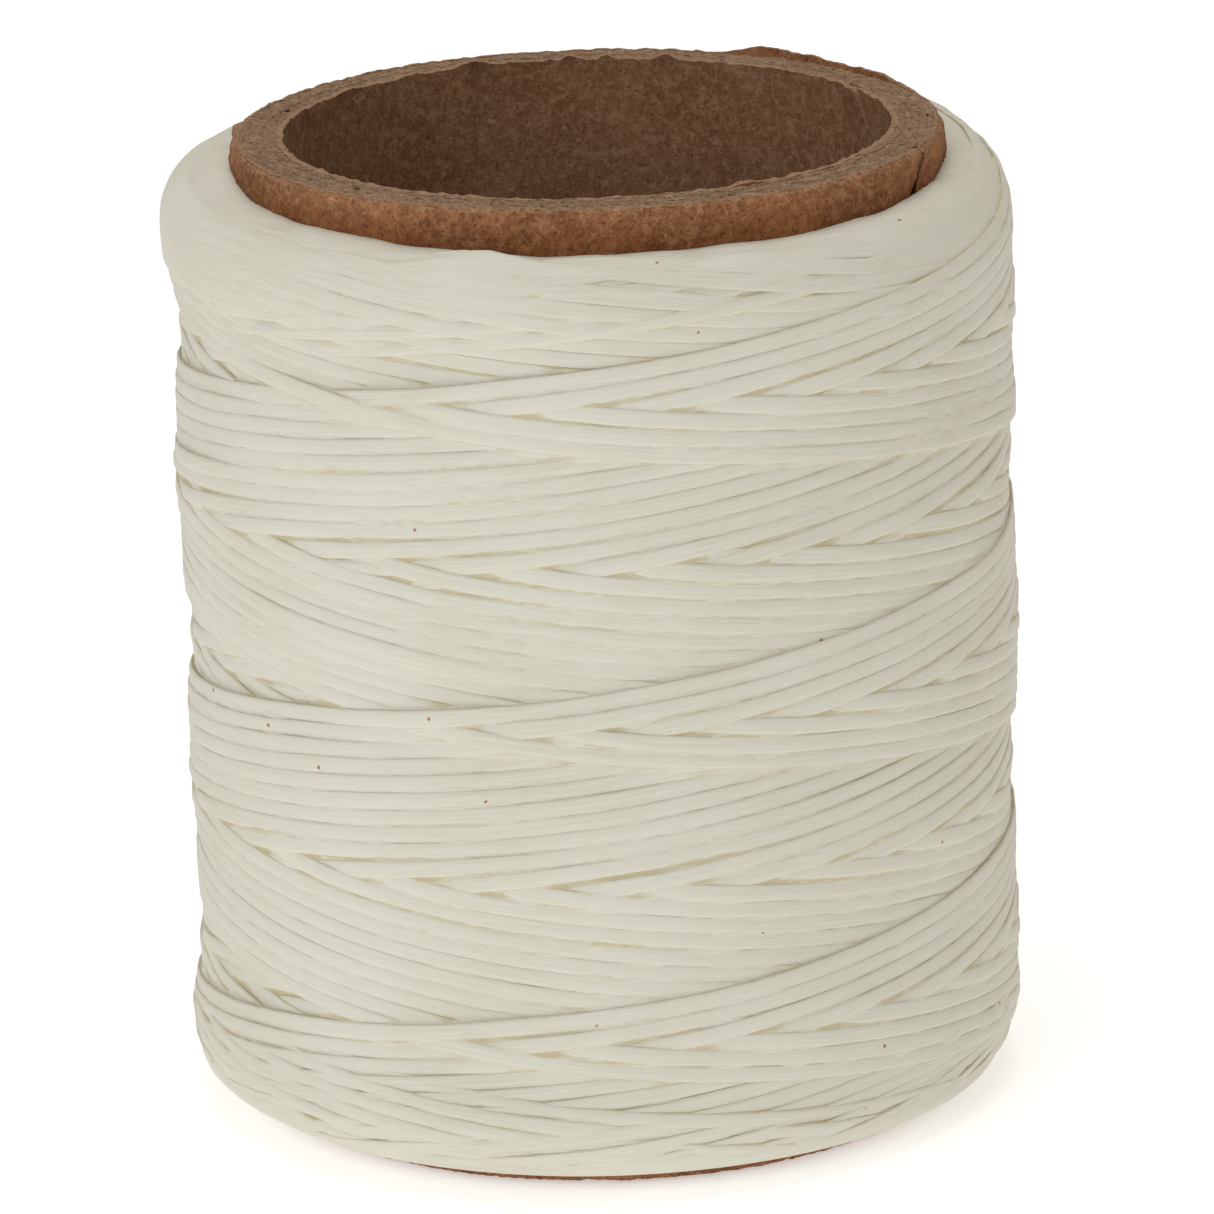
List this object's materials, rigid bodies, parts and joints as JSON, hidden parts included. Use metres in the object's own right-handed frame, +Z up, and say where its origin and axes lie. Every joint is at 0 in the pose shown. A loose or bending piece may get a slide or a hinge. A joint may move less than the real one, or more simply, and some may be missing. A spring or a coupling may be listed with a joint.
{
  "type": "waxed thread spool",
  "caption": "Waxed sewing thread cross-wound on a plain spiral-wound paper tube with an open bore, for hand stitching leather.",
  "frame": {"origin": "centre of the paper tube's bottom end", "axes": "+Z up along the tube's axis, -Y towards the front"},
  "size_m": [0.0488, 0.0488, 0.057],
  "materials": {
    "kraft_liner": "matte",
    "chipboard": "matte",
    "kraft_outer": "matte",
    "waxed_thread": "satin"
  },
  "bodies": {
    "root": {"inner_liner": "kraft_liner", "body_ply_1": "chipboard", "body_ply_2": "chipboard", "body_ply_3": "chipboard", "body_ply_4": "chipboard", "body_ply_5": "chipboard", "outer_ply": "kraft_outer", "winding_cover_1": "waxed_thread", "winding_cover_2": "waxed_thread", "winding_cover_3": "waxed_thread"}
  },
  "joints": []
}
